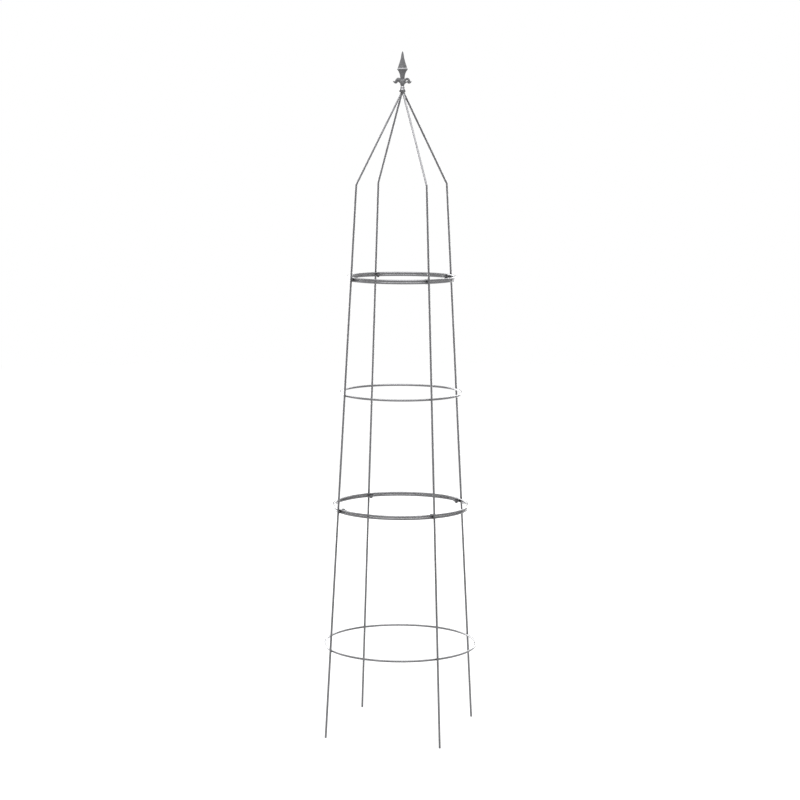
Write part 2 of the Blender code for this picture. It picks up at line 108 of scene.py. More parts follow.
def coatedMetal(name, look):
    # metal under a coat or plate: an uneven tone, a roughness that drifts and a grained skin,
    # and, where a look asks for it, a band of painted shade or painted highlight
    material, tree = newMaterial(name)
    place = addNode(tree, "ShaderNodeTexCoord").outputs["Object"]
    mottle = addNode(tree, "ShaderNodeTexNoise",
                     {"Vector": place, "Scale": look["mottleScale"], "Detail": 4.0})
    grain = addNode(tree, "ShaderNodeTexNoise",
                    {"Vector": place, "Scale": look["grainScale"], "Detail": 3.0,
                     "Roughness": 0.6})
    blend = addNode(tree, "ShaderNodeMath",
                    {0: mottle.outputs["Fac"], 1: grain.outputs["Fac"]}, operation="MULTIPLY")
    tone = addNode(tree, "ShaderNodeValToRGB", {"Fac": blend.outputs[0]})
    tone.color_ramp.elements[0].position = look["toneRange"][0]
    tone.color_ramp.elements[0].color = fromHex(look["darkTone"])
    tone.color_ramp.elements[1].position = look["toneRange"][1]
    tone.color_ramp.elements[1].color = fromHex(look["paleTone"])
    colour = tone.outputs["Color"]
    if "paintedLightBand" in look:
        # painted shade or painted highlight, as the look gives it: another tone between two
        # heights, where the surface looks up enough
        paintedLightBand = look["paintedLightBand"]
        height = addNode(tree, "ShaderNodeSeparateXYZ", {0: place}).outputs["Z"]
        facing = addNode(tree, "ShaderNodeNewGeometry").outputs["Normal"]
        upward = addNode(tree, "ShaderNodeSeparateXYZ", {0: facing}).outputs["Z"]
        share = addNode(tree, "ShaderNodeMapRange",
                        {"Value": upward, "From Min": paintedLightBand["facing"][0],
                         "From Max": paintedLightBand["facing"][1]}).outputs["Result"]
        for limit, sign in zip(paintedLightBand["between"], (1, -1)):
            edge = addNode(tree, "ShaderNodeMapRange",
                           {"Value": height, "From Min": limit - sign * paintedLightBand["fade"],
                            "From Max": limit + sign * paintedLightBand["fade"]})
            share = addNode(tree, "ShaderNodeMath", {0: share, 1: edge.outputs["Result"]},
                            operation="MULTIPLY").outputs[0]
        mix = addNode(tree, "ShaderNodeMixRGB",
                      {"Fac": share, "Color1": colour, "Color2": fromHex(paintedLightBand["tone"])})
        colour = mix.outputs["Color"]
    # nearly all of the mottle's noise lies between 0.3 and 0.7
    rough = addNode(tree, "ShaderNodeMapRange",
                    {"Value": mottle.outputs["Fac"], "From Min": 0.3, "From Max": 0.7,
                     "To Min": look["roughness"][0], "To Max": look["roughness"][1]})
    skin = addNode(tree, "ShaderNodeBump",
                   {"Height": grain.outputs["Fac"], "Strength": look["skinStrength"],
                    "Distance": look["skinDepth"]})
    shader = addNode(tree, "ShaderNodeBsdfPrincipled",
                     {"Base Color": colour, "Roughness": rough.outputs["Result"],
                      "Normal": skin.outputs["Normal"], "IOR": 1.5,
                      "Metallic": look["metallic"],
                      "Specular IOR Level": look.get("specular", 0.5)})
    addNode(tree, "ShaderNodeOutputMaterial", {"Surface": shader.outputs["BSDF"]})
    return material


# Rods, hoops and tabs: satin powder coat with a fine metal flake, sprayed and baked.
# The flake gives each rod a long pale line, and the orange peel softens that line's edges.
rodCoatLook = {
    "darkTone": "#69696b", "paleTone": "#79797b", "toneRange": (0.15, 0.40),
    "metallic": 0.9,
    "mottleScale": 30.0,           # thicker and thinner film, in patches of about 30 mm
    "grainScale": 900.0,           # orange peel of about 1 mm
    "roughness": (0.24, 0.32), "skinStrength": 0.08, "skinDepth": 0.00002,
    # painted shade: the rods' top ends just under the boss are painted darker, where the boss
    # shades them, and a facing under -1 is all round
    "paintedLightBand": {"tone": "#2c2c2e", "facing": (-1.2, -1.1), "between": (1.7850, 1.8000),
             "fade": 0.0012},
}
# Finial: matt powder coat over a sand casting in iron.
# The sand's grain scatters the light, so its faces show plain tones and hardly a highlight.
castCoatLook = {
    "darkTone": "#5a5a5c", "paleTone": "#79797b", "toneRange": (0.12, 0.42),
    "metallic": 0.15, "specular": 0.25,
    "mottleScale": 160.0,          # uneven film over the casting's lumps of about 6 mm
    "grainScale": 620.0,           # sand is about 0.3 mm, drawn at 1.6 mm so that it shows
    "roughness": (0.58, 0.72), "skinStrength": 0.4, "skinDepth": 0.00010,
    # painted highlight: the ledge under the blade faces up and is painted paler, as the light
    # from overhead would make it
    "paintedLightBand": {"tone": "#919193", "facing": (0.10, 0.32), "between": (1.8517, 1.8549),
             "fade": 0.0003},
}
# Bell: gloss powder coat with metal flake over a turned part.
# Its smooth curves mirror the white studio in bright bands with dark edges.
bellCoatLook = {
    "darkTone": "#707072", "paleTone": "#828284", "toneRange": (0.15, 0.40),
    "metallic": 0.9,
    "mottleScale": 60.0,           # film drifts over about 17 mm, most of the way round
    "grainScale": 900.0,           # orange peel of about 1 mm, nearly flowed out
    "roughness": (0.16, 0.22), "skinStrength": 0.05, "skinDepth": 0.00002,
}
# Bolts, nuts and stud: zinc plate, black passivated.
# The film is too thin to fill anything, so edges and threads stay crisp and glint darkly.
platingLook = {
    "darkTone": "#464648", "paleTone": "#58585b", "toneRange": (0.15, 0.40),
    "metallic": 0.9,
    "mottleScale": 300.0,          # cloudy passivation, about 3 mm
    "grainScale": 1500.0,          # cold-formed skin is finer, drawn at 0.7 mm so that it shows
    "roughness": (0.30, 0.42), "skinStrength": 0.1, "skinDepth": 0.00002,
}
# Boss: matt enamel brushed over the ground weld.
# It dries dull and a little darker than the powder coat beside it.
bossCoatLook = {
    "darkTone": "#4e4e50", "paleTone": "#6c6c6e", "toneRange": (0.12, 0.42),
    "metallic": 0.0, "specular": 0.2,
    "mottleScale": 220.0,          # dabs of about 4 mm
    "grainScale": 900.0,           # grinding marks of about 1 mm under the enamel
    "roughness": (0.70, 0.85), "skinStrength": 0.3, "skinDepth": 0.00006,
}
# Welds: the rods' powder coat over rippled weld metal.
# It is rougher than on the rods, so it breaks up their pale line at each joint.
weldCoatLook = {
    "darkTone": "#646466", "paleTone": "#747476", "toneRange": (0.15, 0.40),
    "metallic": 0.8,
    "mottleScale": 260.0,          # ripples of about 4 mm
    "grainScale": 900.0,           # spatter and orange peel of about 1 mm
    "roughness": (0.30, 0.42), "skinStrength": 0.25, "skinDepth": 0.00005,
}
rodCoat = coatedMetal("satinPowderCoat", rodCoatLook)
castCoat = coatedMetal("mattCoatOnCastIron", castCoatLook)
bellCoat = coatedMetal("glossPowderCoat", bellCoatLook)
blackZinc = coatedMetal("blackZincPlate", platingLook)
bossCoat = coatedMetal("mattEnamel", bossCoatLook)
weldCoat = coatedMetal("powderCoatOnWeld", weldCoatLook)
print("materials made")


def toPiece(name, bm, material, body, nodes=(), sharp=40):
    bmesh.ops.remove_doubles(bm, verts=bm.verts[:], dist=sameSpot)
    bmesh.ops.recalc_face_normals(bm, faces=bm.faces[:])
    mesh = bpy.data.meshes.new(name)
    bm.to_mesh(mesh)
    bm.free()
    mesh.materials.append(material)
    mesh.shade_smooth()
    mesh.set_sharp_from_angle(angle=math.radians(sharp))
    piece = bpy.data.objects.new(name, mesh)
    bpy.context.scene.collection.objects.link(piece)
    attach(piece, body)
    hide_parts(*nodes)
    return piece


def roundSharpEdges(bm, width, degrees=35, segments=2):
    sharp = [e for e in bm.edges
             if len(e.link_faces) == 2 and e.calc_face_angle(0) > math.radians(degrees)]
    bmesh.ops.bevel(bm, geom=sharp, offset=width, offset_type="OFFSET", segments=segments,
                    profile=0.5, affect="EDGES", clamp_overlap=True, material=-1)


def cutOff(bm, point, direction):
    # removes what lies past the point and closes the cut
    bmesh.ops.bisect_plane(bm, geom=bm.verts[:] + bm.edges[:] + bm.faces[:],
                           plane_co=point, plane_no=direction, clear_outer=True)
    rim = [e for e in bm.edges if e.is_boundary]
    bmesh.ops.holes_fill(bm, edges=rim, sides=0)


def extrudeRim(bm, rim, travel):
    grown = bmesh.ops.extrude_edge_only(bm, edges=rim)["geom"]
    verts = [g for g in grown if isinstance(g, bmesh.types.BMVert)]
    bmesh.ops.translate(bm, verts=verts, vec=travel)
    return [g for g in grown if isinstance(g, bmesh.types.BMEdge)]


def turnAround(bm, degrees):
    bmesh.ops.rotate(bm, verts=bm.verts[:], cent=(0, 0, 0),
                     matrix=Matrix.Rotation(math.radians(degrees), 3, "Z"))


# Legs: straight rods, and upper ones bent at the shoulder
legMake = {"sides": 28, "bendSteps": 12, "cutRounding": 0.00035}


def startRod(height):
    # a ring square to the shaft, on the leg line in the XZ plane
    bm = bmesh.new()
    bmesh.ops.create_circle(bm, segments=legMake["sides"], radius=rodRadius, cap_ends=False)
    tilt = Matrix.Rotation(-legLean, 3, "Y")
    bmesh.ops.rotate(bm, verts=bm.verts[:], cent=(0, 0, 0), matrix=tilt)
    bmesh.ops.translate(bm, verts=bm.verts[:], vec=(shaftRadius(height), 0, height))
    return bm


def shaftStep(length):
    return Vector((-math.sin(legLean), 0, math.cos(legLean))) * length


def straightLeg(bottom, top):
    # made a little too long, and then cut level at both ends
    bm = startRod(bottom - 2 * rodRadius)
    length = (top - bottom + 4 * rodRadius) / math.cos(legLean)
    extrudeRim(bm, bm.edges[:], shaftStep(length))
    cutOff(bm, (0, 0, bottom), (0, 0, -1))
    cutOff(bm, (0, 0, top), (0, 0, 1))
    roundSharpEdges(bm, legMake["cutRounding"])
    return bm


def shoulderedLeg(bottom, top, apexRadius):
    # shaft, bend and roof rod, with the top ground to a corner that meets its neighbours
    shoulder = Vector((obelisk["shoulderRadius"], 0, obelisk["shoulderHeight"]))
    apex = Vector((apexRadius, 0, top))
    roofWay = (apex - shoulder).normalized()
    turn = shaftStep(1).angle(roofWay)
    bend = obelisk["shoulderBend"]
    start = bottom - 2 * rodRadius
    bendStart = shoulder - shaftStep(bend * math.tan(turn / 2))
    bm = startRod(start)
    toBend = (bendStart - Vector((shaftRadius(start), 0, start))).length
    rim = extrudeRim(bm, bm.edges[:], shaftStep(toBend))
    rimVerts = list({v for e in rim for v in e.verts})
    inwards = Vector((-math.cos(legLean), 0, -math.sin(legLean)))
    swept = bmesh.ops.spin(bm, geom=rimVerts + rim, cent=bendStart + inwards * bend,
                           axis=(0, -1, 0), angle=turn, steps=legMake["bendSteps"])
    rim = [g for g in swept["geom_last"] if isinstance(g, bmesh.types.BMEdge)]
    extrudeRim(bm, rim, roofWay * ((apex - shoulder).length + 2 * rodRadius))
    cutOff(bm, (0, 0, bottom), (0, 0, -1))
    roundSharpEdges(bm, legMake["cutRounding"])
    cutOff(bm, (0, 0, top), (0, 0, 1))
    for side in (1, -1):
        cutOff(bm, (math.sqrt(2) * halfGap, 0, 0), (-1, side, 0))
    return bm


for place, degrees in places.items():
    for section, bottom, top in (
        ("lower", 0, obelisk["lowerJoint"] - halfGap),
        ("middle", obelisk["lowerJoint"] + halfGap, obelisk["upperJoint"] - halfGap),
    ):
        leg = straightLeg(bottom, top)
        turnAround(leg, degrees)
        toPiece(f"{section}Leg.{place}", leg, rodCoat, "frame",
                [f"{section}_leg_{place}"])
    leg = shoulderedLeg(obelisk["upperJoint"] + halfGap, obelisk["bossBottom"] - obelisk["gap"],
                        obelisk["apexRadius"][place])
    turnAround(leg, degrees)
    toPiece(f"upperLeg.{place}", leg, rodCoat, "frame", [f"upper_leg_{place}"])
print("legs made")


# Hoops: rod rolled to a ring inside the legs
hoopMake = {"sides": 16, "steps": 192}
hoopHeights = {
    "lower_section_hoop": 0.246,
    "lower_section_top_hoop": obelisk["lowerJoint"] - halfGap - rodRadius,
    "middle_section_bottom_hoop": obelisk["lowerJoint"] + halfGap + rodRadius,
    "middle_section_hoop": obelisk["lowerJoint"] + 0.320,
    "middle_section_top_hoop": obelisk["upperJoint"] - halfGap - rodRadius,
    "upper_section_bottom_hoop": obelisk["upperJoint"] + halfGap + rodRadius,
}
for node, height in hoopHeights.items():
    bm = bmesh.new()
    bmesh.ops.create_circle(bm, segments=hoopMake["sides"], radius=rodRadius, cap_ends=False)
    bmesh.ops.rotate(bm, verts=bm.verts[:], cent=(0, 0, 0),
                     matrix=Matrix.Rotation(math.radians(90), 3, "X"))
    bmesh.ops.translate(bm, verts=bm.verts[:], vec=(hoopRadius(height), 0, height))
    bmesh.ops.spin(bm, geom=bm.verts[:] + bm.edges[:], cent=(0, 0, 0), axis=(0, 0, 1),
                   angle=math.tau, steps=hoopMake["steps"], use_merge=True)
    toPiece(f"{node}.rolled", bm, rodCoat, "frame", [node])
print("hoops made")


def shapeOf(item):
    # the item's finished shape as a bmesh; the item itself is removed
    graph = bpy.context.evaluated_depsgraph_get()
    mesh = bpy.data.meshes.new_from_object(item.evaluated_get(graph))
    bm = bmesh.new()
    bm.from_mesh(mesh)
    data = item.data
    bpy.data.objects.remove(item)
    bpy.data.meshes.remove(mesh)
    if isinstance(data, bpy.types.Mesh):
        bpy.data.meshes.remove(data)
    return bm


def formItem(bm):
    # a passing object for a shape that goes through a modifier
    mesh = bpy.data.meshes.new("form")
    bmesh.ops.recalc_face_normals(bm, faces=bm.faces[:])
    bm.to_mesh(mesh)
    bm.free()
    item = bpy.data.objects.new("form", mesh)
    bpy.context.scene.collection.objects.link(item)
    return item


def combine(first, second, operation):
    item, other = formItem(first), formItem(second)
    join = item.modifiers.new("join", "BOOLEAN")
    join.operation = operation
    join.solver = "EXACT"
    join.object = other
    shape = shapeOf(item)
    bpy.data.objects.remove(other)
    return shape


def fused(bm, make):
    # melts what overlaps into one skin, with a piece's fineness and smoothing
    item = formItem(bm)
    skin = item.modifiers.new("skin", "REMESH")
    skin.mode = "VOXEL"
    skin.voxel_size = make["fineness"]
    settle = item.modifiers.new("settle", "SMOOTH")
    settle.iterations = make["smoothing"]
    return shapeOf(item)


def addShape(bm, other):
    # puts a copy of another shape into bm
    mesh = bpy.data.meshes.new("copy")
    other.to_mesh(mesh)
    bm.from_mesh(mesh)
    bpy.data.meshes.remove(mesh)


def moved(bm, degrees=0, place=(0, 0, 0)):
    turnAround(bm, degrees)
    bmesh.ops.translate(bm, verts=bm.verts[:], vec=place)
    return bm


def turnedShape(profile, steps, closed=False):
    # spins a profile of radius and height round the axis
    bm = bmesh.new()
    verts = [bm.verts.new((radius, 0, height)) for radius, height in profile]
    pairs = list(zip(verts, verts[1:])) + ([(verts[-1], verts[0])] if closed else [])
    edges = [bm.edges.new(pair) for pair in pairs]
    bmesh.ops.spin(bm, geom=verts + edges, cent=(0, 0, 0), axis=(0, 0, 1), angle=math.tau,
                   steps=steps, use_merge=True)
    bmesh.ops.remove_doubles(bm, verts=bm.verts[:], dist=sameSpot)
    bmesh.ops.recalc_face_normals(bm, faces=bm.faces[:])
    return bm


threadMake = {
    # shares of the pitch
    "depth": 0.5, "crestStart": 0.42, "crestEnd": 0.58,
    "runOut": 1.5,                 # made past each end and then cut off
    "steps": 32,                   # for each turn
}


def threadedRod(radius, pitch, bottom, top):
    # the thread's profile climbs a pitch for each turn round the axis
    root = radius - pitch * threadMake["depth"]
    steps = threadMake["steps"]
    turns = math.ceil((top - bottom) / pitch) + round(2 * threadMake["runOut"])
    low = bottom - threadMake["runOut"] * pitch
    outline = [(root, low), (radius, low + pitch * threadMake["crestStart"]),
               (radius, low + pitch * threadMake["crestEnd"]), (root, low + pitch)]
    bm = bmesh.new()
    verts = [bm.verts.new((x, 0, z)) for x, z in outline]
    edges = [bm.edges.new(pair) for pair in zip(verts, verts[1:])]
    bmesh.ops.spin(bm, geom=verts + edges, cent=(0, 0, 0), axis=(0, 0, 1),
                   dvec=(0, 0, pitch / steps), angle=math.tau * turns,
                   steps=steps * turns, use_merge=False)
    bmesh.ops.remove_doubles(bm, verts=bm.verts[:], dist=2 * sameSpot)
    cutOff(bm, (0, 0, bottom), (0, 0, -1))
    cutOff(bm, (0, 0, top), (0, 0, 1))
    return bm


# Tabs: flat steel, punched and welded to the hoops' inner side
tabMake = {
    "width": 0.012, "thick": 0.002,
    "hoopToBolt": 0.0065, "boltToEnd": 0.0095,
    "hole": 0.0056,
    "edge": 0.00025,               # punched edges under the coat
    "hoopSide": 0.72,              # a tab's outer end, in rod radii inside the hoop's centre line
    "roundSteps": 24,
}
# Bolts and nuts: one of each for every pair of tabs
boltMake = {
    "shank": 0.005, "pitch": 0.0008, "shankIntoHead": 0.001,
    "flats": 0.008, "head": 0.0035,
    "nut": 0.004, "endBelowNut": 0.001,
    "bore": 0.0056, "countersink": 0.0005,
    "cornerCut": 0.0011,           # chamfer height at a hex corner
    "crown": 0.97,                 # flat circle on a head, as a share of the flats
    "coneWidth": 0.55,             # of the corners: past them, and narrow enough for a nut
    "sides": 48,
    "boltTurns": (11, 23), "nutTurns": (34, 17),   # degrees: the first, and on to the next
}


def boltCircle(joint):
    return hoopRadius(joint) - rodRadius - tabMake["hoopToBolt"]


def tabShape(joint):
    # +X runs outwards from the bolt, and the tab reaches a little way into its hoop
    half = tabMake["width"] / 2
    endMiddle = half - tabMake["boltToEnd"]
    outer = hoopRadius(joint) - rodRadius * tabMake["hoopSide"] - boltCircle(joint)
    bend = [math.radians(90 + 180 * i / tabMake["roundSteps"])
            for i in range(tabMake["roundSteps"] + 1)]
    outline = [(outer, -half), (outer, half)]
    outline += [(endMiddle + half * math.cos(a), half * math.sin(a)) for a in bend]
    hole = [(tabMake["hole"] / 2 * math.cos(math.tau * i / boltMake["sides"]),
             tabMake["hole"] / 2 * math.sin(math.tau * i / boltMake["sides"]))
            for i in range(boltMake["sides"])]
    curve = bpy.data.curves.new("tabOutline", "CURVE")
    curve.dimensions = "2D"
    curve.fill_mode = "BOTH"
    curve.extrude = tabMake["thick"] / 2 - tabMake["edge"]
    curve.bevel_depth = tabMake["edge"]
    curve.offset = -tabMake["edge"]
    curve.bevel_resolution = 2
    for points in (outline, hole):
        spline = curve.splines.new("POLY")
        spline.points.add(len(points) - 1)
        spline.use_cyclic_u = True
        for target, (x, y) in zip(spline.points, points):
            target.co = (x, y, 0, 1)
    item = bpy.data.objects.new("tabOutline", curve)
    bpy.context.scene.collection.objects.link(item)
    bm = shapeOf(item)
    bpy.data.curves.remove(curve)
    bmesh.ops.remove_doubles(bm, verts=bm.verts[:], dist=curveSpot)
    return bm


def hexForm(low, high, cutLow, cutHigh):
    # a hexagon bar whose corners are turned off at the chosen ends
    flats = boltMake["flats"]
    corners = flats / math.cos(math.pi / 6)
    cut = boltMake["cornerCut"]
    bm = bmesh.new()
    bmesh.ops.create_cone(bm, cap_ends=True, segments=6, radius1=corners / 2,
                          radius2=corners / 2, depth=high - low)
    bmesh.ops.translate(bm, verts=bm.verts[:], vec=(0, 0, (low + high) / 2))
    wide = corners * boltMake["coneWidth"]
    crown = flats / 2 * boltMake["crown"]
    fall = cut * (wide - crown) / (corners / 2 - crown)
    # each cone runs on past the bar's end, so that no two faces share a plane
    past = 2 * crown - corners / 2
    profile = [(0, high + cut)]
    profile += [(past, high + cut), (wide, high - fall)] if cutHigh else [(wide, high + cut)]
    profile += [(wide, low + fall), (past, low - cut)] if cutLow else [(wide, low - cut)]
    profile.append((0, low - cut))
    return combine(bm, turnedShape(profile, boltMake["sides"]), "INTERSECT")


def boltShape():
    # zero height is the plane where two tabs meet
    seat = halfGap + tabMake["thick"] + obelisk["gap"]
    head = hexForm(seat, seat + boltMake["head"], False, True)
    end = -(seat + boltMake["nut"] + boltMake["endBelowNut"])
    shank = threadedRod(boltMake["shank"] / 2, boltMake["pitch"], end,
                        seat + boltMake["shankIntoHead"])
    return combine(head, shank, "UNION")


def nutShape():
    top = -(halfGap + tabMake["thick"] + obelisk["gap"])
    bottom = top - boltMake["nut"]
    nut = hexForm(bottom, top, True, True)
    lead = boltMake["countersink"]
    bore = boltMake["bore"] / 2
    profile = [(0, top + lead), (bore + 2 * lead, top + lead), (bore, top - lead),
               (bore, bottom + lead), (bore + 2 * lead, bottom - lead), (0, bottom - lead)]
    return combine(nut, turnedShape(profile, boltMake["sides"]), "DIFFERENCE")


joints = {"lower": (obelisk["lowerJoint"], "lower_top_tab", "middle_bottom_tab"),
          "upper": (obelisk["upperJoint"], "middle_top_tab", "upper_bottom_tab")}
plainBolt, plainNut = boltShape(), nutShape()
for jointName, (height, belowTab, aboveTab) in joints.items():
    plainTab = tabShape(height)
    reach = boltCircle(height)
    for count, (place, degrees) in enumerate(places.items()):
        angle = math.radians(degrees)
        for prefix, side in ((belowTab, -1), (aboveTab, 1)):
            middle = height + side * (halfGap + tabMake["thick"] / 2)
            spot = (reach * math.cos(angle), reach * math.sin(angle), middle)
            node = f"{prefix}_{place}"
            toPiece(f"{node}.punched", moved(plainTab.copy(), degrees, spot), rodCoat, "frame",
                    [node])
        spot = (reach * math.cos(angle), reach * math.sin(angle), height)
        # no two fasteners stop at the same turn
        for kind, plain in (("bolt", plainBolt), ("nut", plainNut)):
            firstTurn, nextTurn = boltMake[f"{kind}Turns"]
            fastener = plain.copy()
            turnAround(fastener, firstTurn + nextTurn * count)
            node = f"{jointName}_joint_{kind}_{place}"
            toPiece(f"{node}.hex", moved(fastener, degrees, spot), blackZinc, "frame",
                    [node], sharp=30)
    plainTab.free()
plainBolt.free()
plainNut.free()
print("tabs, bolts and nuts made")


# Boss, stud and bell: turned parts on the obelisk's axis
topMake = {
    "bossHeight": 0.0055, "bossFloor": 0.0015, "bossOverhang": 0.0021, "bossRounding": 0.0006,
    "stud": 0.006, "studPitch": 0.001, "studIntoFinial": 0.010,
    "bellHeight": 0.0106,
    # the bell's outside: radius, and drop from its top
    "bellOuter": [(0.0050, 0.0), (0.0054, -0.0001), (0.0058, -0.0005), (0.0061, -0.0012),
                  (0.0067, -0.0027), (0.0072, -0.0040), (0.0074, -0.0048), (0.0073, -0.0054),
                  (0.0070, -0.0059), (0.0069, -0.0063), (0.0070, -0.0068), (0.0074, -0.0078),
                  (0.0079, -0.0089), (0.0083, -0.0097), (0.0084, -0.0101), (0.0082, -0.0105),
                  (0.0079, -0.0106)],
    "bore": 0.0066, "boreChamfer": 0.0003,
    "steps": 96,
}
bossBottom = obelisk["bossBottom"]
bossTop = bossBottom + topMake["bossHeight"]
bellBottom = bossTop + obelisk["gap"]
finialFoot = bellBottom + topMake["bellHeight"] + obelisk["gap"]


def bossShape():
    # rounded all over by the weld's grinding, with a blind bore for the stud
    roofLean = math.atan(obelisk["shoulderRadius"] / (bossBottom - obelisk["shoulderHeight"]))
    rim = max(obelisk["apexRadius"].values()) + rodRadius / math.cos(roofLean)
    rim += topMake["bossOverhang"]
    bore, chamfer = topMake["bore"] / 2, topMake["boreChamfer"]
    soft = topMake["bossRounding"]
    corner = [math.radians(a) for a in (90, 67.5, 45, 22.5, 0)]
    profile = [(0, bossBottom + topMake["bossFloor"]), (bore, bossBottom + topMake["bossFloor"]),
               (bore, bossTop - chamfer), (bore + chamfer, bossTop)]
    profile += [(rim - soft + soft * math.cos(a), bossTop - soft + soft * math.sin(a))
                for a in corner]
    profile += [(rim - soft + soft * math.cos(a), bossBottom + soft - soft * math.sin(a))
                for a in reversed(corner)]
    profile.append((0, bossBottom))
    return turnedShape(profile, topMake["steps"])


def bellShape():
    # a small skirted cap: flat crown, sloping shoulder, groove and flared skirt
    low, high = bellBottom, bellBottom + topMake["bellHeight"]
    bore, chamfer = topMake["bore"] / 2, topMake["boreChamfer"]
    profile = [(bore, high - chamfer), (bore + chamfer, high)]
    profile += [(radius, high + drop) for radius, drop in topMake["bellOuter"]]
    profile += [(bore + chamfer, low), (bore, low + chamfer)]
    return turnedShape(profile, topMake["steps"], closed=True)


toPiece("topBoss.ground", bossShape(), bossCoat, "frame", ["top_boss"])
studBottom = bossBottom + topMake["bossFloor"] + obelisk["gap"]
stud = threadedRod(topMake["stud"] / 2, topMake["studPitch"], studBottom,
                   finialFoot + topMake["studIntoFinial"])
toPiece("finialStud.threaded", stud, blackZinc, "frame", ["finial_stud"],
        sharp=30)
toPiece("finialBell.turned", bellShape(), bellCoat, "finial", ["finial_bell"])
print("boss, stud and bell made")


# Finial: a spear and two scrolls, drawn in its own frame and then turned to its place
finialMake = {
    # radius and height of the round stem
    "stem": [(0, 0.0190), (0.0033, 0.0190), (0.0048, 0.0162), (0.0062, 0.0130), (0.0066, 0.0085),
             (0.0063, 0.0058), (0.0057, 0.0032), (0.0050, 0.0008), (0.0048, 0), (0, 0)],
    # height, half width, half depth of the diamond section
    "spear": [
        (0.0120, 0.0060, 0.0048), (0.0200, 0.0060, 0.0048), (0.0228, 0.0062, 0.0049),
        (0.0256, 0.0066, 0.0051), (0.0283, 0.0070, 0.0054), (0.0311, 0.0076, 0.0058),
        (0.0339, 0.0084, 0.0063), (0.0366, 0.0095, 0.0070), (0.0394, 0.0108, 0.0078),
        (0.0421, 0.0127, 0.0092), (0.0441, 0.0144, 0.0105), (0.0449, 0.0148, 0.0110),
        (0.0459, 0.0147, 0.0110), (0.0490, 0.0126, 0.0073), (0.0504, 0.0122, 0.0067),
        (0.0532, 0.0114, 0.0060), (0.0559, 0.0107, 0.0054), (0.0587, 0.0098, 0.0050),
        (0.0615, 0.0087, 0.0046), (0.0642, 0.0079, 0.0043), (0.0670, 0.0071, 0.0040),
        (0.0697, 0.0064, 0.0037), (0.0725, 0.0056, 0.0034), (0.0752, 0.0049, 0.0031),
        (0.0780, 0.0044, 0.0028), (0.0808, 0.0040, 0.0025), (0.0835, 0.0036, 0.0022),
        (0.0863, 0.0031, 0.0020), (0.0890, 0.0025, 0.0017), (0.0918, 0.0017, 0.0013),
        (0.0938, 0.0004, 0.0004),
    ],
    # reach, rise and radius of the bar that makes each scroll; no two castings are quite alike
    "leftScroll": [
        (0.0000, 0.0088, 0.0054), (0.0054, 0.0128, 0.0055), (0.0109, 0.0171, 0.0056),
        (0.0145, 0.0154, 0.0047), (0.0162, 0.0122, 0.0043), (0.0180, 0.0098, 0.0038),
        (0.0218, 0.0107, 0.0027), (0.0254, 0.0124, 0.0011),
    ],
    "rightScroll": [
        (0.0000, 0.0088, 0.0050), (0.0052, 0.0136, 0.0043), (0.0094, 0.0176, 0.0032),
        (0.0134, 0.0191, 0.0031), (0.0166, 0.0172, 0.0032), (0.0178, 0.0138, 0.0035),
        (0.0166, 0.0104, 0.0039), (0.0196, 0.0099, 0.0036), (0.0224, 0.0111, 0.0024),
        (0.0249, 0.0125, 0.0010),
    ],
    # metal that ran between the stem and the right scroll and wasn't cut out
    "rightWeb": [
        (0.0030, 0.0064, 0.0030), (0.0060, 0.0078, 0.0027), (0.0090, 0.0095, 0.0020),
        (0.0128, 0.0113, 0.0013),
    ],
    "scrollDepth": 0.72,           # the bar is flatter than round
    "grain": 0.00006,              # sand left in the skin
    "grainScale": 900, "grainFade": 0.8, "grainSpread": 2.2, "grainOctaves": 3,
    "fineness": 0.00036,           # of the casting's mesh
    "smoothing": 2,
    "stemSides": 64, "drillSides": 48,
    "drillTip": 0.5,               # length of the drill's point, as a share of its radius
    "mouthWide": 0.0012, "mouthDeep": 0.0006,   # the socket's countersink
}


def spearForm():
    # diamond rings joined from the neck to the tip
    bm = bmesh.new()
    rings = []
    for height, halfWidth, halfDepth in finialMake["spear"]:
        ring = bmesh.ops.create_circle(bm, segments=4, radius=1, cap_ends=False)["verts"]
        bmesh.ops.scale(bm, verts=ring, vec=(halfWidth, halfDepth, 1))
        bmesh.ops.translate(bm, verts=ring, vec=(0, 0, height))
        rings.append(list({e for v in ring for e in v.link_edges}))
    bmesh.ops.bridge_loops(bm, edges=[e for ring in rings for e in ring], use_pairs=False)
    bmesh.ops.holes_fill(bm, edges=[e for e in bm.edges if e.is_boundary], sides=0)
    return bm


def scrollForm(side, path):
    # the bevel is a metre deep, so that each point's radius is the bar's real radius there
    curve = bpy.data.curves.new("scrollLine", "CURVE")
    curve.dimensions = "3D"
    curve.bevel_depth = 1.0
    curve.bevel_resolution = 5
    curve.resolution_u = 12
    curve.use_fill_caps = True
    spline = curve.splines.new("BEZIER")
    spline.bezier_points.add(len(path) - 1)
    for target, (reach, rise, radius) in zip(spline.bezier_points, path):
        target.co = (side * reach, 0, rise)
        target.radius = radius
        target.handle_left_type = "AUTO"
        target.handle_right_type = "AUTO"
    item = bpy.data.objects.new("scrollLine", curve)
    bpy.context.scene.collection.objects.link(item)
    bm = shapeOf(item)
    bpy.data.curves.remove(curve)
    bmesh.ops.remove_doubles(bm, verts=bm.verts[:], dist=curveSpot)
    bmesh.ops.scale(bm, verts=bm.verts[:], vec=(1, finialMake["scrollDepth"], 1))
    return bm


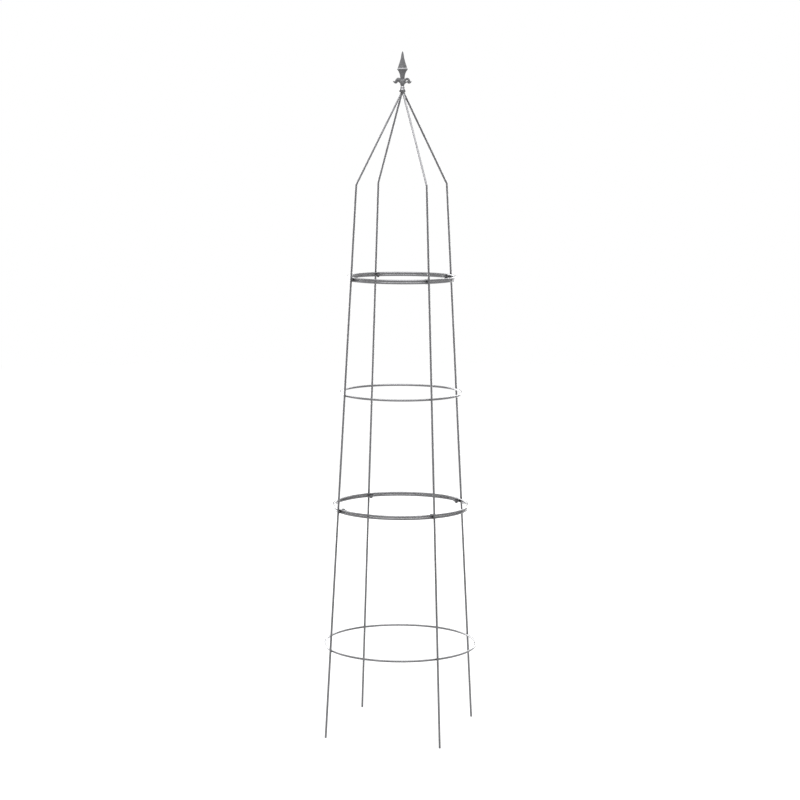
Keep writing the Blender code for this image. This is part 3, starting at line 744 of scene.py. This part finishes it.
def finialShape():
    stem = turnedShape(finialMake["stem"], finialMake["stemSides"])
    whole = combine(stem, spearForm(), "UNION")
    for side, path in ((1, finialMake["rightScroll"]), (-1, finialMake["leftScroll"]),
                       (1, finialMake["rightWeb"])):
        whole = combine(whole, scrollForm(side, path), "UNION")
    whole = fused(whole, finialMake)
    # the skin stands a little proud where sand stuck to it
    bmesh.ops.recalc_face_normals(whole, faces=whole.faces[:])
    whole.normal_update()
    for vert in whole.verts:
        rise = noise.fractal(vert.co * finialMake["grainScale"], finialMake["grainFade"],
                             finialMake["grainSpread"], finialMake["grainOctaves"])
        vert.co += vert.normal * rise * finialMake["grain"]
    # the socket for the stud is drilled after casting
    reach = topMake["studIntoFinial"] + obelisk["gap"]
    bore = topMake["bore"] / 2
    wide, deep = finialMake["mouthWide"], finialMake["mouthDeep"]
    drill = turnedShape([(0, reach + bore * finialMake["drillTip"]), (bore, reach), (bore, deep),
                         (bore + wide, -deep), (0, -deep)], finialMake["drillSides"])
    whole = combine(whole, drill, "DIFFERENCE")
    return moved(whole, obelisk["finialTurn"], (0, 0, finialFoot))


finial = toPiece("finial.cast", finialShape(), castCoat, "finial", ["finial"])
print("finial made:", len(finial.data.polygons), "faces")


# Welds: a flattened nugget between each hoop and leg, a seam that closes each hoop, and a bead
# along each tab
weldMake = {
    "size": (0.0030, 0.0030, 0.0011),   # half sizes along the hoop, upwards and across the joint
    "lump": 0.10, "lumpScale": 2.3,     # on a ball of radius 1, before it is flattened
    "ripple": 0.00022, "rippleScale": 700,
    "seam": (0.0032, 0.0028, 0.0032),   # half sizes of the butt weld that closes each hoop
    "seamTurn": 62, "seamStep": 12,     # degrees from +X, and further for each metre of height
    "bead": 0.0011,                     # half width of the bead along a tab
    "drop": (0.95, 1.15, 1.0),          # a bead's drop, as shares of that
    "dropStep": 0.00125, "dropsEachSide": 4,
    "beadSide": 0.80,                   # in rod radii inside the hoop's centre line
    "beadRise": 0.35,                   # off the tab's face, as a share of the bead
    "fineness": 0.00022, "smoothing": 2,
    # seeds, so that no two welds are alike
    "nuggetSeed": 10, "seamSeed": 30, "dropSeed": 7,
}


def weldNugget(halfSizes, seed):
    bm = bmesh.new()
    bmesh.ops.create_icosphere(bm, subdivisions=4, radius=1)
    for vert in bm.verts:
        lump = 1 + weldMake["lump"] * noise.noise(
            vert.co * weldMake["lumpScale"] + Vector((seed, 0, 0)))
        vert.co = Vector([c * h * lump for c, h in zip(vert.co, halfSizes)])
    bm.normal_update()
    for vert in bm.verts:
        rise = noise.noise(vert.co * weldMake["rippleScale"] + Vector((0, seed, 0)))
        vert.co += vert.normal * rise * weldMake["ripple"]
    return bm


def weldsAt(height):
    # four nuggets where a hoop meets the legs, and the seam that closes the hoop;
    # x runs outwards, y along the hoop
    along, up, across = weldMake["size"]
    welds = bmesh.new()
    middle = (hoopRadius(height) + shaftRadius(height)) / 2
    for degrees in places.values():
        nugget = weldNugget((across, along, up), degrees + height * weldMake["nuggetSeed"])
        bmesh.ops.rotate(nugget, verts=nugget.verts[:], cent=(0, 0, 0),
                         matrix=Matrix.Rotation(-legLean, 3, "Y"))
        moved(nugget, 0, (middle, 0, height))
        turnAround(nugget, degrees)
        addShape(welds, nugget)
        nugget.free()
    seam = weldNugget(weldMake["seam"], height * weldMake["seamSeed"])
    moved(seam, 0, (hoopRadius(height), 0, height))
    turnAround(seam, weldMake["seamTurn"] + height * weldMake["seamStep"])
    addShape(welds, seam)
    seam.free()
    return welds


def beadsAt(joint, side):
    # a bead joins each tab's outer end to its hoop, on the side away from the other section
    welds = bmesh.new()
    bead = weldMake["bead"]
    dropSize = [bead * share for share in weldMake["drop"]]
    inside = hoopRadius(joint) - rodRadius * weldMake["beadSide"]
    height = joint + side * (halfGap + tabMake["thick"] + bead * weldMake["beadRise"])
    last = weldMake["dropsEachSide"]
    for degrees in places.values():
        for slip in range(-last, last + 1):
            drop = weldNugget(dropSize, degrees + slip * weldMake["dropSeed"] + side)
            moved(drop, 0, (inside, slip * weldMake["dropStep"], height))
            turnAround(drop, degrees)
            addShape(welds, drop)
            drop.free()
    return welds


weldLevels = {
    "lower": [hoopHeights["lower_section_hoop"], hoopHeights["lower_section_top_hoop"]],
    "middle": [hoopHeights["middle_section_bottom_hoop"], hoopHeights["middle_section_hoop"],
               hoopHeights["middle_section_top_hoop"]],
    "upper": [hoopHeights["upper_section_bottom_hoop"]],
}
tabSides = {"lower": [(obelisk["lowerJoint"], -1)],
            "middle": [(obelisk["lowerJoint"], 1), (obelisk["upperJoint"], -1)],
            "upper": [(obelisk["upperJoint"], 1)]}
for section, heights in weldLevels.items():
    welds = bmesh.new()
    for height in heights:
        nuggets = weldsAt(height)
        addShape(welds, nuggets)
        nuggets.free()
    toPiece(f"{section}Welds.legs", welds, weldCoat, "frame", sharp=180)
    beads = bmesh.new()
    for joint, side in tabSides[section]:
        drops = beadsAt(joint, side)
        addShape(beads, drops)
        drops.free()
    toPiece(f"{section}Welds.tabs", fused(beads, weldMake), weldCoat, "frame",
            sharp=180)
print("welds made")


# Camera: the place and lens that the photograph was taken with
view = {
    "azimuth": 16.91,              # degrees round from the front
    "distance": 5.984, "height": 1.7363,
    "pitch": 82.41, "roll": 0.243,
    "lens": 97.375, "sensor": 36,  # mm
    "shift": -1.07 / 800,          # pixels of a frame 800 wide
}
azimuth = math.radians(view["azimuth"])


def around(degrees, distance, height):
    # a place beside the obelisk, turned from the camera's side to its right
    angle = azimuth + math.radians(degrees)
    return Vector((math.sin(angle) * distance, -math.cos(angle) * distance, height))


cameraData = bpy.data.cameras.new("camera")
cameraData.sensor_width = view["sensor"]
cameraData.lens = view["lens"]
cameraData.shift_x = view["shift"]
camera = bpy.data.objects.new("camera", cameraData)
camera.matrix_world = (
    Matrix.Translation(around(0, view["distance"], view["height"]))
    @ Matrix.Rotation(azimuth, 4, "Z")
    @ Matrix.Rotation(math.radians(view["pitch"]), 4, "X")
    @ Matrix.Rotation(math.radians(view["roll"]), 4, "Z")
)
bpy.context.scene.collection.objects.link(camera)
bpy.context.scene.camera = camera

# Light: a wide soft box overhead, two weak ones beside and two bright ones behind
lampAim = Vector((0, 0, 1.0))
lamps = {
    # name: degrees from the camera, distance, height, width, tall, brightness (1 is paper white)
    "keyBox": (0, 0.8, 4.0, 3.6, 3.6, 4.4),
    "leftBox": (-88, 3.6, 2.2, 1.6, 3.6, 0.7),
    "rightBox": (95, 3.6, 2.2, 1.4, 3.6, 0.5),
    "backLeftBox": (-146, 3.6, 1.75, 2.6, 3.5, 5.6),
    "backRightBox": (158, 3.6, 1.75, 1.5, 3.5, 6.0),
}
for name, (degrees, distance, height, width, tall, brightness) in lamps.items():
    lampData = bpy.data.lights.new(name, "AREA")
    lampData.shape = "RECTANGLE"
    lampData.size = width
    lampData.size_y = tall
    lampData.energy = brightness * math.pi * width * tall
    lamp = bpy.data.objects.new(name, lampData)
    lamp.location = around(degrees, distance, height)
    lamp.rotation_euler = (lamp.location - lampAim).to_track_quat("Z", "Y").to_euler()
    lamp.visible_camera = False
    bpy.context.scene.collection.objects.link(lamp)


def seenDirectly(tree):
    # 1 for what the camera sees, straight or in a gloss or through glass
    path = addNode(tree, "ShaderNodeLightPath")
    glossy = addNode(tree, "ShaderNodeMath",
                     {0: path.outputs["Is Camera Ray"], 1: path.outputs["Is Glossy Ray"]},
                     operation="MAXIMUM")
    return addNode(tree, "ShaderNodeMath",
                   {0: glossy.outputs[0], 1: path.outputs["Is Transmission Ray"]},
                   operation="MAXIMUM").outputs[0]


studio = {
    "worldLight": 0.35,            # on the object; what the camera sees of the world is white
    "floorRadius": 9.0, "floorSides": 64,
    "floorAlbedo": 0.72,           # pale paper, for the light that it throws up at the object
    "seenAlbedo": 0.26,            # where it is seen, so that the shadow still shows on it
    "nearGlow": 0.80, "farGlow": 0.92,
    "nearEdge": 1.0, "farEdge": 5.0,
}
world = bpy.data.worlds.new("whiteStudio")
world.use_nodes = True
tree = world.node_tree
tree.nodes.clear()
strength = addNode(tree, "ShaderNodeMapRange",
                   {"Value": seenDirectly(tree), "To Min": studio["worldLight"], "To Max": 1.0})
background = addNode(tree, "ShaderNodeBackground",
                     {"Color": (1, 1, 1, 1), "Strength": strength.outputs["Result"]})
addNode(tree, "ShaderNodeOutputWorld", {"Surface": background.outputs[0]})
bpy.context.scene.world = world

# the floor glows for the camera, a little more with distance, and keeps the shadow
paper, tree = newMaterial("paperSweep")
place = addNode(tree, "ShaderNodeTexCoord").outputs["Object"]
away = addNode(tree, "ShaderNodeVectorMath", {0: place}, operation="LENGTH")
glow = addNode(tree, "ShaderNodeMapRange",
               {"Value": away.outputs["Value"], "From Min": studio["nearEdge"],
                "From Max": studio["farEdge"], "To Min": studio["nearGlow"],
                "To Max": studio["farGlow"]})
seen = seenDirectly(tree)
glowSeen = addNode(tree, "ShaderNodeMath",
                   {0: glow.outputs["Result"], 1: seen}, operation="MULTIPLY")
glowing = addNode(tree, "ShaderNodeEmission",
                  {"Color": (1, 1, 1, 1), "Strength": glowSeen.outputs[0]})
albedo = addNode(tree, "ShaderNodeMapRange",
                 {"Value": seen, "To Min": studio["floorAlbedo"], "To Max": studio["seenAlbedo"]})
matt = addNode(tree, "ShaderNodeBsdfDiffuse", {"Color": albedo.outputs["Result"]})
both = addNode(tree, "ShaderNodeAddShader", {0: matt.outputs[0], 1: glowing.outputs[0]})
addNode(tree, "ShaderNodeOutputMaterial", {"Surface": both.outputs[0]})
bm = bmesh.new()
bmesh.ops.create_circle(bm, segments=studio["floorSides"], radius=studio["floorRadius"],
                        cap_ends=True)
floorMesh = bpy.data.meshes.new("floor")
bm.to_mesh(floorMesh)
bm.free()
floorMesh.materials.append(paper)
floor = bpy.data.objects.new("floor", floorMesh)
bpy.context.scene.collection.objects.link(floor)

bpy.context.scene.view_settings.view_transform = "Standard"
print("studio set")
